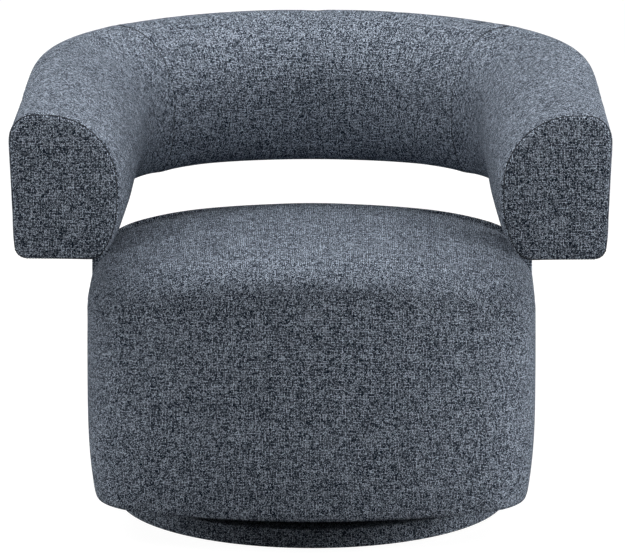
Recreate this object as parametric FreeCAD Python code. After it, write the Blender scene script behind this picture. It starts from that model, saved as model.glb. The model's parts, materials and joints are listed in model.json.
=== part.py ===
import FreeCAD, Part
import math
import os
from FreeCAD import Vector

os.makedirs("parts", exist_ok=True)

# Upholstered swivel accent chair, in millimetres, +Z up, +Y to the back of the chair.
# The origin lies on the floor, on the swivel axis.

# Overall form
chair_width = 890.0
chair_depth = 780.0
chair_height = 692.0

# Plan of the back and arms, measured on the outer face
back_radius = 470.0
back_half_angle = 46.0
corner_radius = 330.0
panel_seam_angle = 43.5

# Section of the back and arms
bolster_height = 221.0
crest_outer_radius = 38.0
crest_inner_radius = 106.0
crest_inner_set = 55.6
lower_face_radius = 147.0
lower_face_height = 88.0
under_inner_radius = 26.0
under_outer_radius = 20.0
wall_lean = 6.0

# Seat drum
seat_half_width = 336.0
seat_front_y = -367.0
seat_rear_y = 330.0
seat_front_radius = 680.0
seat_rear_radius = 900.0
seat_front_corner = 115.0
seat_rear_corner = 210.0
seat_bottom = 61.0
crown_height = 434.5
crown_pitch = 0.093
crown_side_radius = 1280.0
crown_length_radius = 5000.0
shoulder_radius = 40.0
foot_inset = 14.0
foot_rise = 110.0
round_steps = 4
crown_ring_shares = (0.7, 0.3)
back_steps = 10
corner_steps = 4
cover_turn_under = 40.0

# Upholstery
cover_thickness = 2.0
soft_clearance = 0.3
side_wrap_thickness = 27.0
arm_end_pad_thickness = 5.0
riser_pad_thickness = 3.0
dust_cover_thickness = 1.0

# Seat frame
board_thickness = 18.0
skin_thickness = 3.0
frame_height = 206.0
top_ring_width = 70.0
side_rail_thickness = 25.0
corner_post_size = 45.0
corner_post_set = 165.0
corner_post_gap = 8.0
webbing_width = 50.0
webbing_thickness = 1.5
webbing_pitch = 95.0
webbing_end_inset = 22.0
long_webbing_count = 4
cross_webbing_count = 4

# Risers between the seat frame and the arms
riser_thickness = 20.0
riser_front_y = -45.0
riser_rear_y = 105.0
riser_bottom = 110.0
riser_entry = 100.0
riser_cover_bottom = 330.0
riser_cover_entry = 16.0
arm_block_depth = 54.0
arm_block_front_y = -35.0
arm_block_rear_y = 93.0

# Frame inside the back and arms
lower_board_outer_set = 26.0
lower_board_inner_set = 110.0
upper_board_outer_set = 40.0
upper_board_inner_set = 84.0
upper_board_height = 130.0
rib_thickness = 18.0
frame_end_set = 28.0
back_rib_angles = (-34.0, -17.0, 0.0, 17.0, 34.0)
corner_rib_share = 0.15
arm_rib_end_set = 60.0

# Bolts that hold the risers
bolt_radius = 4.0
bolt_hole_clearance = 0.2
bolt_head_radius = 8.0
bolt_head_height = 4.0
riser_nut_across_flats = 13.0
riser_nut_thickness = 6.5
lower_bolt_height = 180.0
lower_bolt_margin = 36.0
upper_bolt_entry = 70.0
upper_bolt_margin = 38.0

# Plinth
base_radius = 299.0
base_top = 34.0
base_lift = 4.0
base_board_thickness = 14.0
hoop_thickness = 14.0
base_edge_chamfer = 2.5
base_cover_top_width = 60.0
base_cover_bottom_width = 18.0
glide_count = 6
glide_radius = 14.0
glide_circle_radius = 240.0
glide_block_length = 62.0
glide_block_width = 50.0
glide_lip_height = 1.2
glide_lip_radius = 11.0

# Swivel bearing
plate_half_width = 130.0
plate_corner_radius = 16.0
plate_thickness = 3.0
ball_radius = 5.0
ball_circle_radius = 90.0
ball_count = 12
ball_sides = 8
ball_bands = 6
running_clearance = 0.3
pin_clearance = 0.1
race_half_width = 10.0
race_floor = 1.2
retainer_thickness = 1.6
retainer_gap = 0.5
retainer_half_width = 9.0
ball_hole_clearance = 0.15
pin_radius = 8.0
pin_shoulder_radius = 14.0
bush_wall = 4.0
washer_radius = 18.0
washer_thickness = 2.5
nut_across_flats = 24.0
nut_height = 8.0
pin_end = 2.0
spacer_radius = 165.0
spacer_margin = 4.0
plate_bolt_circle_radius = 140.0
plate_bolt_radius = 3.0
plate_bolt_head_radius = 6.0
plate_bolt_head_height = 3.0

# Heights and places that follow from the sizes above
bolster_bottom = chair_height - bolster_height
arm_front_y = -chair_depth / 2.0
section_width = crest_inner_set + crest_inner_radius
back_centre_y = chair_depth / 2.0 - back_radius
seat_middle_y = (seat_front_y + seat_rear_y) / 2.0
foam_inset = cover_thickness + soft_clearance
skin_inset = side_wrap_thickness + soft_clearance
frame_inset = skin_inset + skin_thickness
frame_bottom = seat_bottom + foam_inset
ring_top = frame_bottom + frame_height
ring_bottom = ring_top - board_thickness
floor_board_top = frame_bottom + board_thickness
webbing_top = ring_top + 2.0 * webbing_thickness
riser_inner_x = seat_half_width - skin_inset
riser_outer_x = riser_inner_x + riser_thickness
riser_top = bolster_bottom + riser_entry
frame_half_width = seat_half_width - frame_inset
rail_inner_x = frame_half_width - side_rail_thickness
lower_board_bottom = bolster_bottom + foam_inset
lower_board_top = lower_board_bottom + board_thickness
upper_board_bottom = bolster_bottom + upper_board_height
upper_board_top = upper_board_bottom + board_thickness

base_board_top = base_top - cover_thickness
base_board_bottom = base_board_top - base_board_thickness
hoop_outer_radius = base_radius - foam_inset
hoop_inner_radius = hoop_outer_radius - hoop_thickness
hoop_bottom = base_lift + foam_inset
lower_plate_top = base_board_top + plate_thickness
ball_height = lower_plate_top + race_floor + (ball_radius + running_clearance) * math.sqrt(2.0)
lower_race_top = ball_height - retainer_thickness / 2.0 - retainer_gap
upper_race_bottom = ball_height + retainer_thickness / 2.0 + retainer_gap
upper_plate_bottom = 2.0 * ball_height - lower_plate_top
upper_plate_top = upper_plate_bottom + plate_thickness

Z_AXIS = Vector(0, 0, 1)
X_AXIS = Vector(1, 0, 0)
path_rounds = 6
ORIGIN = Vector(0, 0, 0)


def export(name, solids):
    """Write one node; a list of solids becomes a compound."""
    if isinstance(solids, list):
        shape = Part.makeCompound(solids)
    else:
        shape = solids
    shape.exportStep("parts/" + name + ".step")


def mirrored(shape):
    """The same piece on the other side of the chair."""
    return shape.mirror(ORIGIN, X_AXIS)


def box(x0, x1, y0, y1, z0, z1):
    """Box between two corners."""
    return Part.makeBox(x1 - x0, y1 - y0, z1 - z0, Vector(x0, y0, z0))


def cylinder_x(radius, x0, x1, y, z):
    """Cylinder along X between two places."""
    return Part.makeCylinder(radius, abs(x1 - x0), Vector(min(x0, x1), y, z), X_AXIS)


def disc(radius, z0, z1, x=0.0, y=0.0):
    """Upright cylinder between two heights."""
    return Part.makeCylinder(radius, z1 - z0, Vector(x, y, z0))


def ring(outer, inner, z0, z1):
    """Flat ring about the swivel axis."""
    return disc(outer, z0, z1).cut(disc(inner, z0 - 1.0, z1 + 1.0))


def polar(radius, angle):
    """Point at a plan angle in degrees, counted from +X."""
    turn = math.radians(angle)
    return radius * math.cos(turn), radius * math.sin(turn)


# Section of the back and arms
def section_points(inset):
    """Ends and middles of the section's edges, as set from the outer wall and height."""
    low_x = wall_lean + under_outer_radius
    low_y = under_outer_radius
    top_x = crest_outer_radius
    top_y = bolster_height - crest_outer_radius
    span = math.hypot(top_x - low_x, top_y - low_y)
    lean = math.atan2(top_y - low_y, top_x - low_x)
    wall = lean + math.acos((under_outer_radius - crest_outer_radius) / span)
    inner_x = crest_inner_set
    inner_y = bolster_height - crest_inner_radius
    face_x = inner_x + crest_inner_radius - lower_face_radius
    face_y = lower_face_height
    reach = lower_face_radius - under_inner_radius
    drop = face_y - under_inner_radius
    heel_x = face_x + math.sqrt(reach ** 2 - drop ** 2)
    heel_y = under_inner_radius
    heel = math.atan2(heel_y - face_y, heel_x - face_x)

    def on(cx, cy, radius, angle):
        size = radius - inset
        return (cx + size * math.cos(angle), cy + size * math.sin(angle))

    quarter = math.pi / 2.0
    arcs = []
    arcs.append((low_x, low_y, under_outer_radius, -quarter, wall - 2.0 * math.pi))
    arcs.append((top_x, top_y, crest_outer_radius, wall, quarter))
    arcs.append((inner_x, inner_y, crest_inner_radius, quarter, 0.0))
    arcs.append((face_x, face_y, lower_face_radius, 0.0, heel))
    arcs.append((heel_x, heel_y, under_inner_radius, heel, -quarter))
    result = []
    for cx, cy, radius, first, last in arcs:
        start = on(cx, cy, radius, first)
        middle = on(cx, cy, radius, (first + last) / 2.0)
        end = on(cx, cy, radius, last)
        result.append((start, middle, end))
    return result


def place_on_path(origin, angle):
    """Function that turns a set inwards and a height into a point of space."""
    turn = math.radians(angle)
    outward = Vector(math.sin(turn), math.cos(turn), 0)

    def point(inward, height):
        return origin - outward * inward + Z_AXIS * (bolster_bottom + height)
    return point


def section_wire(inset, point):
    """Closed outline of the section, drawn in by the inset."""
    arcs = section_points(inset)
    edges = []
    for index, (start, middle, end) in enumerate(arcs):
        edges.append(Part.Arc(point(*start), point(*middle), point(*end)).toShape())
        following = arcs[(index + 1) % len(arcs)][0]
        if math.hypot(end[0] - following[0], end[1] - following[1]) > 0.001:
            edges.append(Part.makeLine(point(*end), point(*following)))
    return Part.Wire(Part.__sortEdges__(edges))


def rectangle_face(t0, t1, h0, h1, point):
    """Rectangular face in the plane of the section."""
    corners = [point(t0, h0), point(t1, h0), point(t1, h1), point(t0, h1), point(t0, h0)]
    return Part.Face(Part.makePolygon(corners))


def solid_profile(inset):
    """Profile maker for the full section."""
    def profile(point):
        return Part.Face(section_wire(inset, point))
    return profile


def board_profile(t0, t1, z0, z1):
    """Profile maker for a flat board that follows the path."""
    def profile(point):
        return rectangle_face(t0, t1, z0 - bolster_bottom, z1 - bolster_bottom, point)
    return profile


# Path of the back and arms
def path_data():
    """Corner centre and the angle at which the corner runs into the straight arm."""
    turn = math.radians(back_half_angle)
    reach = back_radius - corner_radius
    centre = Vector(reach * math.sin(turn), back_centre_y + reach * math.cos(turn), 0)
    front = Vector(chair_width / 2.0, arm_front_y, 0)
    last = 0.0
    for attempt in range(path_rounds):
        offset = front - centre
        bearing = math.atan2(offset.x, offset.y)
        last = bearing - math.acos(corner_radius / offset.Length)
        inner_lead = section_width * max(math.cos(last), 0.0)
        front = Vector(chair_width / 2.0, arm_front_y + inner_lead, 0)
    return centre, front, math.degrees(last)


corner_centre, arm_front, arm_angle = path_data()
back_centre = Vector(0, back_centre_y, 0)


def arc_point(centre, radius, angle):
    """Point of the outer path on an arc."""
    turn = math.radians(angle)
    return centre + Vector(math.sin(turn), math.cos(turn), 0) * radius


corner_end = arc_point(corner_centre, corner_radius, arm_angle)
arm_direction = (arm_front - corner_end).normalize()
arm_length = (arm_front - corner_end).Length


def arc_sweep(profile, centre, radius, first, last):
    """Profile turned about an arc of the path."""
    face = profile(place_on_path(arc_point(centre, radius, first), first))
    return face.revolve(centre, Vector(0, 0, -1), last - first)


def arm_sweep(profile, first_set, last_set):
    """Profile run along the straight arm, between two sets from its front end."""
    start = arm_front - arm_direction * first_set
    face = profile(place_on_path(start, arm_angle))
    return face.extrude(arm_direction * (first_set - last_set))


def side_sweep(profile, first_angle, end_set):
    """Profile from an angle on the back, round the corner to the arm's front."""
    pieces = []
    if first_angle < back_half_angle:
        pieces.append(arc_sweep(profile, back_centre, back_radius, first_angle, back_half_angle))
    pieces.append(arc_sweep(profile, corner_centre, corner_radius, back_half_angle, arm_angle))
    pieces.append(arm_sweep(profile, arm_length, end_set))
    return fused(pieces)


def whole_sweep(profile, end_set):
    """Profile along the whole path, from one arm front to the other."""
    side = side_sweep(profile, back_half_angle, end_set)
    middle = arc_sweep(profile, back_centre, back_radius, -back_half_angle, back_half_angle)
    return fused([mirrored(side), middle, side])


def fused(pieces):
    """One solid from pieces that share faces."""
    result = pieces[0].fuse(pieces[1:])
    result = result.removeSplitter()
    return result.Solids[0]


def steps_between(first, last, count):
    """Evenly spaced values from the first to the last."""
    return [first + (last - first) * index / count for index in range(count + 1)]


def padded_loft(inset, stations):
    """Ruled loft of the section through stations given as path points with angles."""
    wires = []
    for origin, angle in stations:
        wires.append(section_wire(inset, place_on_path(origin, angle)))
    return Part.makeLoft(wires, True, True).Solids[0]


def back_stations(half_angle):
    """Stations across the middle of the back."""
    angles = steps_between(-half_angle, half_angle, back_steps)
    return [(arc_point(back_centre, back_radius, angle), angle) for angle in angles]


def arm_stations(first_angle, end_set):
    """Stations from an angle on the back to a set from the arm's front."""
    stations = [(arc_point(back_centre, back_radius, first_angle), first_angle)]
    for angle in steps_between(back_half_angle, arm_angle, corner_steps):
        stations.append((arc_point(corner_centre, corner_radius, angle), angle))
    stations.append((arm_front - arm_direction * end_set, arm_angle))
    return stations


# Plan and block of the seat
def plan_corner(y_end, sign, end_radius, corner_size):
    """Centres and the meeting angle of an end arc and its right corner arc."""
    middle_y = y_end + sign * end_radius
    cx = seat_half_width - corner_size
    reach = end_radius - corner_size
    cy = middle_y - sign * math.sqrt(reach ** 2 - cx ** 2)
    return middle_y, cx, cy, math.atan2(cy - middle_y, cx)


def plan_points(inset):
    """Ends and middles of the right half of the seat's outline, front to back."""
    points = []
    ends = ((seat_front_y, 1.0, seat_front_radius, seat_front_corner),
            (seat_rear_y, -1.0, seat_rear_radius, seat_rear_corner))
    for y_end, sign, end_radius, corner_size in ends:
        middle_y, cx, cy, turn = plan_corner(y_end, sign, end_radius, corner_size)
        size = end_radius - inset
        small = corner_size - inset
        row = [(0.0, y_end + sign * inset)]
        row.append((size * math.cos(turn), middle_y + size * math.sin(turn)))
        row.append((cx + small * math.cos(turn / 2.0), cy + small * math.sin(turn / 2.0)))
        row.append((seat_half_width - inset, cy))
        points.append(row)
    return points


def ring_wire(inset, share, height):
    """Closed outline of eight arcs; the height function gives the z of each point."""
    front, rear = plan_points(inset)

    def at(place, side):
        x = place[0] * side * share
        y = seat_middle_y + (place[1] - seat_middle_y) * share
        return Vector(x, y, height(x, y))

    def side_middle():
        return (front[3][0], (front[3][1] + rear[3][1]) / 2.0)

    def edge(first, middle, last):
        if abs((middle - first).cross(last - first).Length) < 0.001:
            return Part.makeLine(first, last)
        return Part.Arc(first, middle, last).toShape()

    middle = side_middle()
    edges = [edge(at(front[1], -1), at(front[0], 1), at(front[1], 1)),
             edge(at(front[1], 1), at(front[2], 1), at(front[3], 1)),
             edge(at(front[3], 1), at(middle, 1), at(rear[3], 1)),
             edge(at(rear[3], 1), at(rear[2], 1), at(rear[1], 1)),
             edge(at(rear[1], 1), at(rear[0], 1), at(rear[1], -1)),
             edge(at(rear[1], -1), at(rear[2], -1), at(rear[3], -1)),
             edge(at(rear[3], -1), at(middle, -1), at(front[3], -1)),
             edge(at(front[3], -1), at(front[2], -1), at(front[1], -1))]
    return Part.Wire(edges)


def plan_wire(inset, z):
    """Flat outline of the seat drum, drawn in by the inset."""
    return ring_wire(inset, 1.0, lambda x, y: z)


def plan_prism(inset, z0, z1):
    """Upright prism with the seat's outline."""
    return Part.Face(plan_wire(inset, z0)).extrude(Vector(0, 0, z1 - z0))


def plan_ring(outer_inset, inner_inset, z0, z1):
    """Upright ring that follows the seat's outline."""
    return plan_prism(outer_inset, z0, z1).cut(plan_prism(inner_inset, z0 - 1.0, z1 + 1.0))


def crown_plane(x, y):
    """Height of the pitched plane that touches the crown in the middle."""
    return crown_height - crown_pitch * (y - seat_middle_y)


def crown_at(x, y):
    """Height of the crown above a place of the plan."""
    along = (y - seat_middle_y) ** 2 / (2.0 * crown_length_radius)
    across = x ** 2 / (2.0 * crown_side_radius)
    return crown_plane(x, y) - along - across


def seat_block():
    """Crowned seat drum: ruled bands through outlines on the foot, shoulder and crown."""
    wires = []
    quarter = math.pi / 2.0
    for turn in steps_between(0.0, quarter, round_steps):
        inset = foot_inset * (1.0 - math.sin(turn))
        z = seat_bottom + foot_rise * (1.0 - math.cos(turn))
        wires.append(plan_wire(inset, z))
    for turn in steps_between(0.0, quarter, round_steps):
        inset = shoulder_radius * (1.0 - math.cos(turn))
        drop = shoulder_radius * (1.0 - math.sin(turn))
        wires.append(ring_wire(inset, 1.0, lambda x, y: crown_at(x, y) - drop))
    for share in crown_ring_shares[:-1]:
        wires.append(ring_wire(shoulder_radius, share, crown_at))
    wires.append(ring_wire(shoulder_radius, crown_ring_shares[-1], crown_plane))
    return Part.makeLoft(wires, True, True).Solids[0]


def riser_box(margin, z0, z1):
    """Space of the right riser board with a margin on its four upright faces."""
    return box(riser_inner_x - margin, riser_outer_x + margin,
               riser_front_y - margin, riser_rear_y + margin, z0, z1)


def rounded_prism(x0, x1, y0, y1, z0, z1, radius):
    """Upright prism with rounded upright edges."""
    shape = box(x0, x1, y0, y1, z0, z1)
    upright = [e for e in shape.Edges if e.BoundBox.ZLength > (z1 - z0) / 2.0]
    return shape.makeFillet(radius, upright)


def riser_sleeve_prism(wall, z0, z1):
    """Right riser and its pad, grown on the upright faces by a wall, with edges of its size."""
    pad = riser_pad_thickness + soft_clearance
    return rounded_prism(riser_inner_x - wall, riser_outer_x + pad + wall,
                         riser_front_y - wall, riser_rear_y + wall, z0, z1, wall)


def lower_bolt_places():
    """Y places of the bolts low on a riser."""
    first = riser_front_y + lower_bolt_margin
    last = riser_rear_y - lower_bolt_margin
    return [first, (first + last) / 2.0, last]


def upper_bolt_places():
    """Y places of the bolts high on a riser."""
    return [arm_block_front_y + upper_bolt_margin, arm_block_rear_y - upper_bolt_margin]


def riser_bolt(head_x, end_x, y, z):
    """Bolt along X whose head face lies at the first place."""
    away = math.copysign(1.0, end_x - head_x)
    head = cylinder_x(bolt_head_radius, head_x, head_x + away * bolt_head_height, y, z)
    shank = cylinder_x(bolt_radius, head_x, end_x, y, z)
    return head.fuse(shank).removeSplitter()


def riser_nut(face_x, away, y, z):
    """Six-sided nut on a riser bolt, flat against the wood."""
    end_x = face_x + away * riser_nut_thickness
    nut = hexagon(riser_nut_across_flats, min(face_x, end_x), max(face_x, end_x))
    nut.rotate(ORIGIN, Vector(0, 1, 0), 90)
    nut.translate(Vector(0, y, z))
    return nut.cut(cylinder_x(bolt_radius, face_x, end_x, y, z))


def bolt_hole(x0, x1, y, z):
    """Clearance hole for a riser bolt."""
    return cylinder_x(bolt_radius + bolt_hole_clearance, x0, x1, y, z)


def head_hole(face_x, away, y, z):
    """Counterbore that lets a bolt head lie flush."""
    return cylinder_x(bolt_head_radius, face_x, face_x + away * bolt_head_height, y, z)


# Plinth
def make_base():
    """Round plinth that stands on the floor."""
    board = disc(hoop_outer_radius, base_board_bottom, base_board_top)
    board = board.cut(disc(pin_shoulder_radius + spacer_margin, base_board_bottom, base_board_top))
    hoop = ring(hoop_outer_radius, hoop_inner_radius, hoop_bottom, base_board_bottom)
    blocks = []
    glides = []
    for index in range(glide_count):
        angle = (index + 0.5) * 360.0 / glide_count
        block = box(glide_circle_radius - glide_block_length / 2.0, hoop_outer_radius,
                    -glide_block_width / 2.0, glide_block_width / 2.0,
                    hoop_bottom, base_board_bottom)
        block = block.common(disc(hoop_inner_radius, hoop_bottom, base_board_bottom))
        block.rotate(ORIGIN, Z_AXIS, angle)
        blocks.append(block)
        x, y = polar(glide_circle_radius, angle)
        foot = disc(glide_radius, glide_lip_height, hoop_bottom, x, y)
        lip = Part.makeCone(glide_lip_radius, glide_radius, glide_lip_height, Vector(x, y, 0))
        glides.append(foot.fuse(lip).removeSplitter())
    outer = disc(base_radius, base_lift, base_top)
    edges = [e for e in outer.Edges if e.Curve.TypeId == "Part::GeomCircle"]
    outer = outer.makeChamfer(base_edge_chamfer, edges)
    inner = disc(hoop_outer_radius + soft_clearance, hoop_bottom - soft_clearance,
                 base_board_top + soft_clearance)
    cover = outer.cut(inner)
    cover = cover.cut(disc(base_radius - base_cover_top_width, base_top - foam_inset, base_top))
    cover = cover.cut(disc(base_radius - base_cover_bottom_width, base_lift, base_top - foam_inset))
    export("base_top_board", cut_all(board, [plate_bolt_hole(index) for index in range(4)]))
    export("base_hoop", hoop)
    export("base_glide_blocks", blocks)
    export("floor_glides", glides)
    export("base_cover", cover.Solids[0])


def cut_all(shape, tools):
    """Shape with every tool taken from it."""
    for tool in tools:
        shape = shape.cut(tool)
    return shape


def plate_bolt_place(index):
    """Plan place of one of the four corner bolts of a swivel plate."""
    return polar(plate_bolt_circle_radius, 45.0 + 90.0 * index)


def plate_bolt_hole(index):
    """Hole through both boards and plates for a corner bolt."""
    x, y = plate_bolt_place(index)
    radius = plate_bolt_radius + bolt_hole_clearance
    return disc(radius, base_board_bottom, floor_board_top, x, y)


# Swivel bearing
def swivel_plate(z0, race_z0, race_z1):
    """Square plate with a ball race on its inner side."""
    w = plate_half_width
    plate = rounded_prism(-w, w, -w, w, z0, z0 + plate_thickness, plate_corner_radius)
    race = ring(ball_circle_radius + race_half_width, ball_circle_radius - race_half_width,
                race_z0, race_z1)
    body = plate.fuse(race.cut(race_groove())).removeSplitter()
    return cut_all(body, [plate_bolt_hole(index) for index in range(4)])


def race_groove():
    """Ring of diamond section whose sloped faces guide the balls."""
    reach = (ball_radius + running_clearance) * math.sqrt(2.0)
    r = ball_circle_radius
    corners = [Vector(r - reach, 0, ball_height), Vector(r, 0, ball_height + reach),
               Vector(r + reach, 0, ball_height), Vector(r, 0, ball_height - reach),
               Vector(r - reach, 0, ball_height)]
    return Part.Face(Part.makePolygon(corners)).revolve(ORIGIN, Z_AXIS, 360)


def ball_ring(x, y, band):
    """Corners of one band of a ball; the first and last bands are its poles."""
    turn = math.pi * band / ball_bands
    size = ball_radius * math.sin(turn)
    z = ball_height - ball_radius * math.cos(turn)
    if band in (0, ball_bands):
        return [Vector(x, y, z)]
    corners = []
    for side in range(ball_sides):
        dx, dy = polar(size, side * 360.0 / ball_sides)
        corners.append(Vector(x + dx, y + dy, z))
    return corners


def bearing_ball(x, y):
    """Ball drawn with flat facets, as many as its small size needs."""
    faces = []
    for band in range(ball_bands):
        low = ball_ring(x, y, band)
        high = ball_ring(x, y, band + 1)
        for side in range(ball_sides):
            corners = [low[side % len(low)], low[(side + 1) % ball_sides % len(low)],
                       high[(side + 1) % ball_sides % len(high)], high[side % len(high)]]
            distinct = [p for k, p in enumerate(corners) if p != corners[k - 1]]
            faces.append(Part.Face(Part.makePolygon(distinct + distinct[:1])))
    return Part.Solid(Part.Shell(faces))


def make_swivel():
    """Lower plate, pin, balls in their retainer, and upper plate."""
    lower = swivel_plate(base_board_top, lower_plate_top, lower_race_top)
    lower = lower.cut(disc(pin_radius, base_board_top, lower_plate_top))
    upper = swivel_plate(upper_plate_bottom, upper_race_bottom, upper_plate_bottom)
    bush_outer = pin_radius + pin_clearance + bush_wall
    upper = upper.cut(disc(bush_outer, upper_plate_bottom, upper_plate_top))
    shoulder = disc(pin_shoulder_radius, lower_plate_top, upper_plate_bottom - running_clearance)
    washer_bottom = upper_plate_top + running_clearance
    nut_bottom = washer_bottom + washer_thickness
    pin = disc(pin_radius, base_board_top, nut_bottom + nut_height + pin_end)
    pin = pin.fuse(shoulder)
    pin = pin.fuse(disc(pin_shoulder_radius, base_board_bottom, base_board_top)).removeSplitter()
    bush = ring(bush_outer, pin_radius + pin_clearance, upper_plate_bottom, upper_plate_top)
    washer = ring(washer_radius, pin_radius, washer_bottom, nut_bottom)
    nut = hexagon(nut_across_flats, nut_bottom, nut_bottom + nut_height)
    nut = nut.cut(disc(pin_radius, nut_bottom, nut_bottom + nut_height))
    retainer = ring(ball_circle_radius + retainer_half_width,
                    ball_circle_radius - retainer_half_width,
                    ball_height - retainer_thickness / 2.0,
                    ball_height + retainer_thickness / 2.0)
    balls = []
    for index in range(ball_count):
        x, y = polar(ball_circle_radius, index * 360.0 / ball_count)
        balls.append(bearing_ball(x, y))
        retainer = retainer.cut(disc(ball_radius + ball_hole_clearance,
                                     ball_height - retainer_thickness,
                                     ball_height + retainer_thickness, x, y))
    export("swivel_lower_plate", lower)
    export("swivel_upper_plate", upper)
    export("swivel_pin", pin)
    export("swivel_bush", bush)
    export("swivel_washer", washer)
    export("swivel_nut", nut)
    export("ball_retainer", retainer)
    export("bearing_balls", balls)
    lower_bolts = []
    upper_bolts = []
    for index in range(4):
        x, y = plate_bolt_place(index)
        lower_bolts.append(plate_bolt(x, y, lower_plate_top, 1.0, base_board_bottom))
        upper_bolts.append(plate_bolt(x, y, upper_plate_bottom, -1.0, floor_board_top))
    export("lower_plate_screws", lower_bolts)
    export("upper_plate_screws", upper_bolts)


def plate_bolt(x, y, face, away, end):
    """Corner bolt of a swivel plate, its head on the plate's open face."""
    head_end = face + away * plate_bolt_head_height
    head = disc(plate_bolt_head_radius, min(face, head_end), max(face, head_end), x, y)
    shank = disc(plate_bolt_radius, min(face, end), max(face, end), x, y)
    return head.fuse(shank).removeSplitter()


def hexagon(across_flats, z0, z1):
    """Six-sided prism on the swivel axis."""
    reach = across_flats / math.sqrt(3.0)
    corners = []
    for index in range(7):
        x, y = polar(reach, 60.0 * index)
        corners.append(Vector(x, y, z0))
    return Part.Face(Part.makePolygon(corners)).extrude(Vector(0, 0, z1 - z0))


# Seat frame and upholstery
def skin_front(x):
    """Y of the inner face of the frame skin at the front, at a distance from the middle."""
    radius = seat_front_radius - frame_inset
    return seat_front_y + frame_inset + radius - math.sqrt(radius ** 2 - x ** 2)


def skin_rear(x):
    """Y of the inner face of the frame skin at the rear, at a distance from the middle."""
    radius = seat_rear_radius - frame_inset
    return seat_rear_y - frame_inset - radius + math.sqrt(radius ** 2 - x ** 2)


def make_seat_frame():
    """Plywood drum that carries the springs, foam and risers."""
    bore = disc(washer_radius + spacer_margin, upper_plate_top, floor_board_top)
    holes = [plate_bolt_hole(index) for index in range(4)]
    spacer = disc(spacer_radius, upper_plate_top, frame_bottom)
    floor_board = plan_prism(frame_inset, frame_bottom, floor_board_top)
    export("spacer_board", cut_all(spacer.cut(bore), holes))
    export("seat_floor_board", cut_all(floor_board.cut(bore), holes))
    export("seat_top_ring", plan_ring(frame_inset, frame_inset + top_ring_width,
                                      ring_bottom, ring_top))
    rail = box(rail_inner_x, frame_half_width, riser_front_y, riser_rear_y,
               floor_board_top, ring_bottom)
    rail = rail.common(plan_prism(frame_inset, floor_board_top, ring_bottom))
    skin = plan_ring(skin_inset, frame_inset, frame_bottom, ring_top)
    for y in lower_bolt_places():
        hole = bolt_hole(rail_inner_x, riser_inner_x, y, lower_bolt_height)
        rail = rail.cut(hole)
        skin = skin.cut(hole).cut(mirrored(hole))
    export("side_rails", [rail, mirrored(rail)])
    export("frame_skin", skin)
    post_outer_x = seat_half_width - corner_post_set + corner_post_size / 2.0
    post_inner_x = post_outer_x - corner_post_size
    rail_x = post_inner_x - soft_clearance
    rail_front_y = skin_front(rail_x) + soft_clearance
    rail_rear_y = skin_rear(rail_x) - soft_clearance
    export("front_rail", box(-rail_x, rail_x, rail_front_y, rail_front_y + side_rail_thickness,
                             floor_board_top, ring_bottom))
    export("rear_rail", box(-rail_x, rail_x, rail_rear_y - side_rail_thickness, rail_rear_y,
                            floor_board_top, ring_bottom))
    post_front_y = skin_front(post_outer_x) + corner_post_gap
    post_rear_y = skin_rear(post_outer_x) - corner_post_gap
    posts = []
    for y in (post_front_y, post_rear_y - corner_post_size):
        post = box(post_inner_x, post_outer_x, y, y + corner_post_size,
                   floor_board_top, ring_bottom)
        posts.append(post)
        posts.append(mirrored(post))
    export("corner_posts", posts)
    make_webbing()


def make_webbing():
    """Two layers of elastic straps that carry the seat foam."""
    half = webbing_width / 2.0
    front = seat_front_y + frame_inset + webbing_end_inset
    rear = seat_rear_y - frame_inset - webbing_end_inset
    side = frame_half_width - webbing_end_inset
    middle = ring_top + webbing_thickness
    long_straps = []
    for index in range(long_webbing_count):
        x = (index - (long_webbing_count - 1) / 2.0) * webbing_pitch
        long_straps.append(box(x - half, x + half, front, rear, ring_top, middle))
    cross_straps = []
    for index in range(cross_webbing_count):
        y = (front + rear) / 2.0 + (index - (cross_webbing_count - 1) / 2.0) * webbing_pitch
        cross_straps.append(box(-side, side, y - half, y + half, middle, webbing_top))
    export("long_webbing", long_straps)
    export("cross_webbing", cross_straps)


def make_seat_upholstery():
    """Padded top and wrapped side of the seat drum."""
    block = seat_block()
    top = bolster_bottom
    pad_bottom = webbing_top + soft_clearance
    pocket = riser_box(soft_clearance, riser_bottom - soft_clearance, riser_cover_bottom)
    sleeve_pocket = riser_sleeve_prism(foam_inset + soft_clearance,
                                       riser_cover_bottom - soft_clearance, top)
    pockets = [pocket, mirrored(pocket), sleeve_pocket, mirrored(sleeve_pocket)]
    core = plan_prism(side_wrap_thickness + soft_clearance, pad_bottom, top)
    pad = cut_all(block.common(core), pockets)
    export("seat_top_pad", pad.Solids[0])
    wrap = block.cut(plan_prism(side_wrap_thickness, seat_bottom + foam_inset
                                - soft_clearance, top))
    turn_inset = cover_turn_under + cover_thickness
    wrap = wrap.cut(plan_prism(turn_inset, 0.0, seat_bottom + foam_inset))
    export("seat_side_wrap", cut_all(wrap, pockets).Solids[0])
    dust = plan_prism(turn_inset + soft_clearance, frame_bottom - soft_clearance
                      - dust_cover_thickness, frame_bottom - soft_clearance)
    dust = dust.cut(disc(spacer_radius + spacer_margin, 0.0, frame_bottom))
    export("seat_dust_cover", dust)


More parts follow.
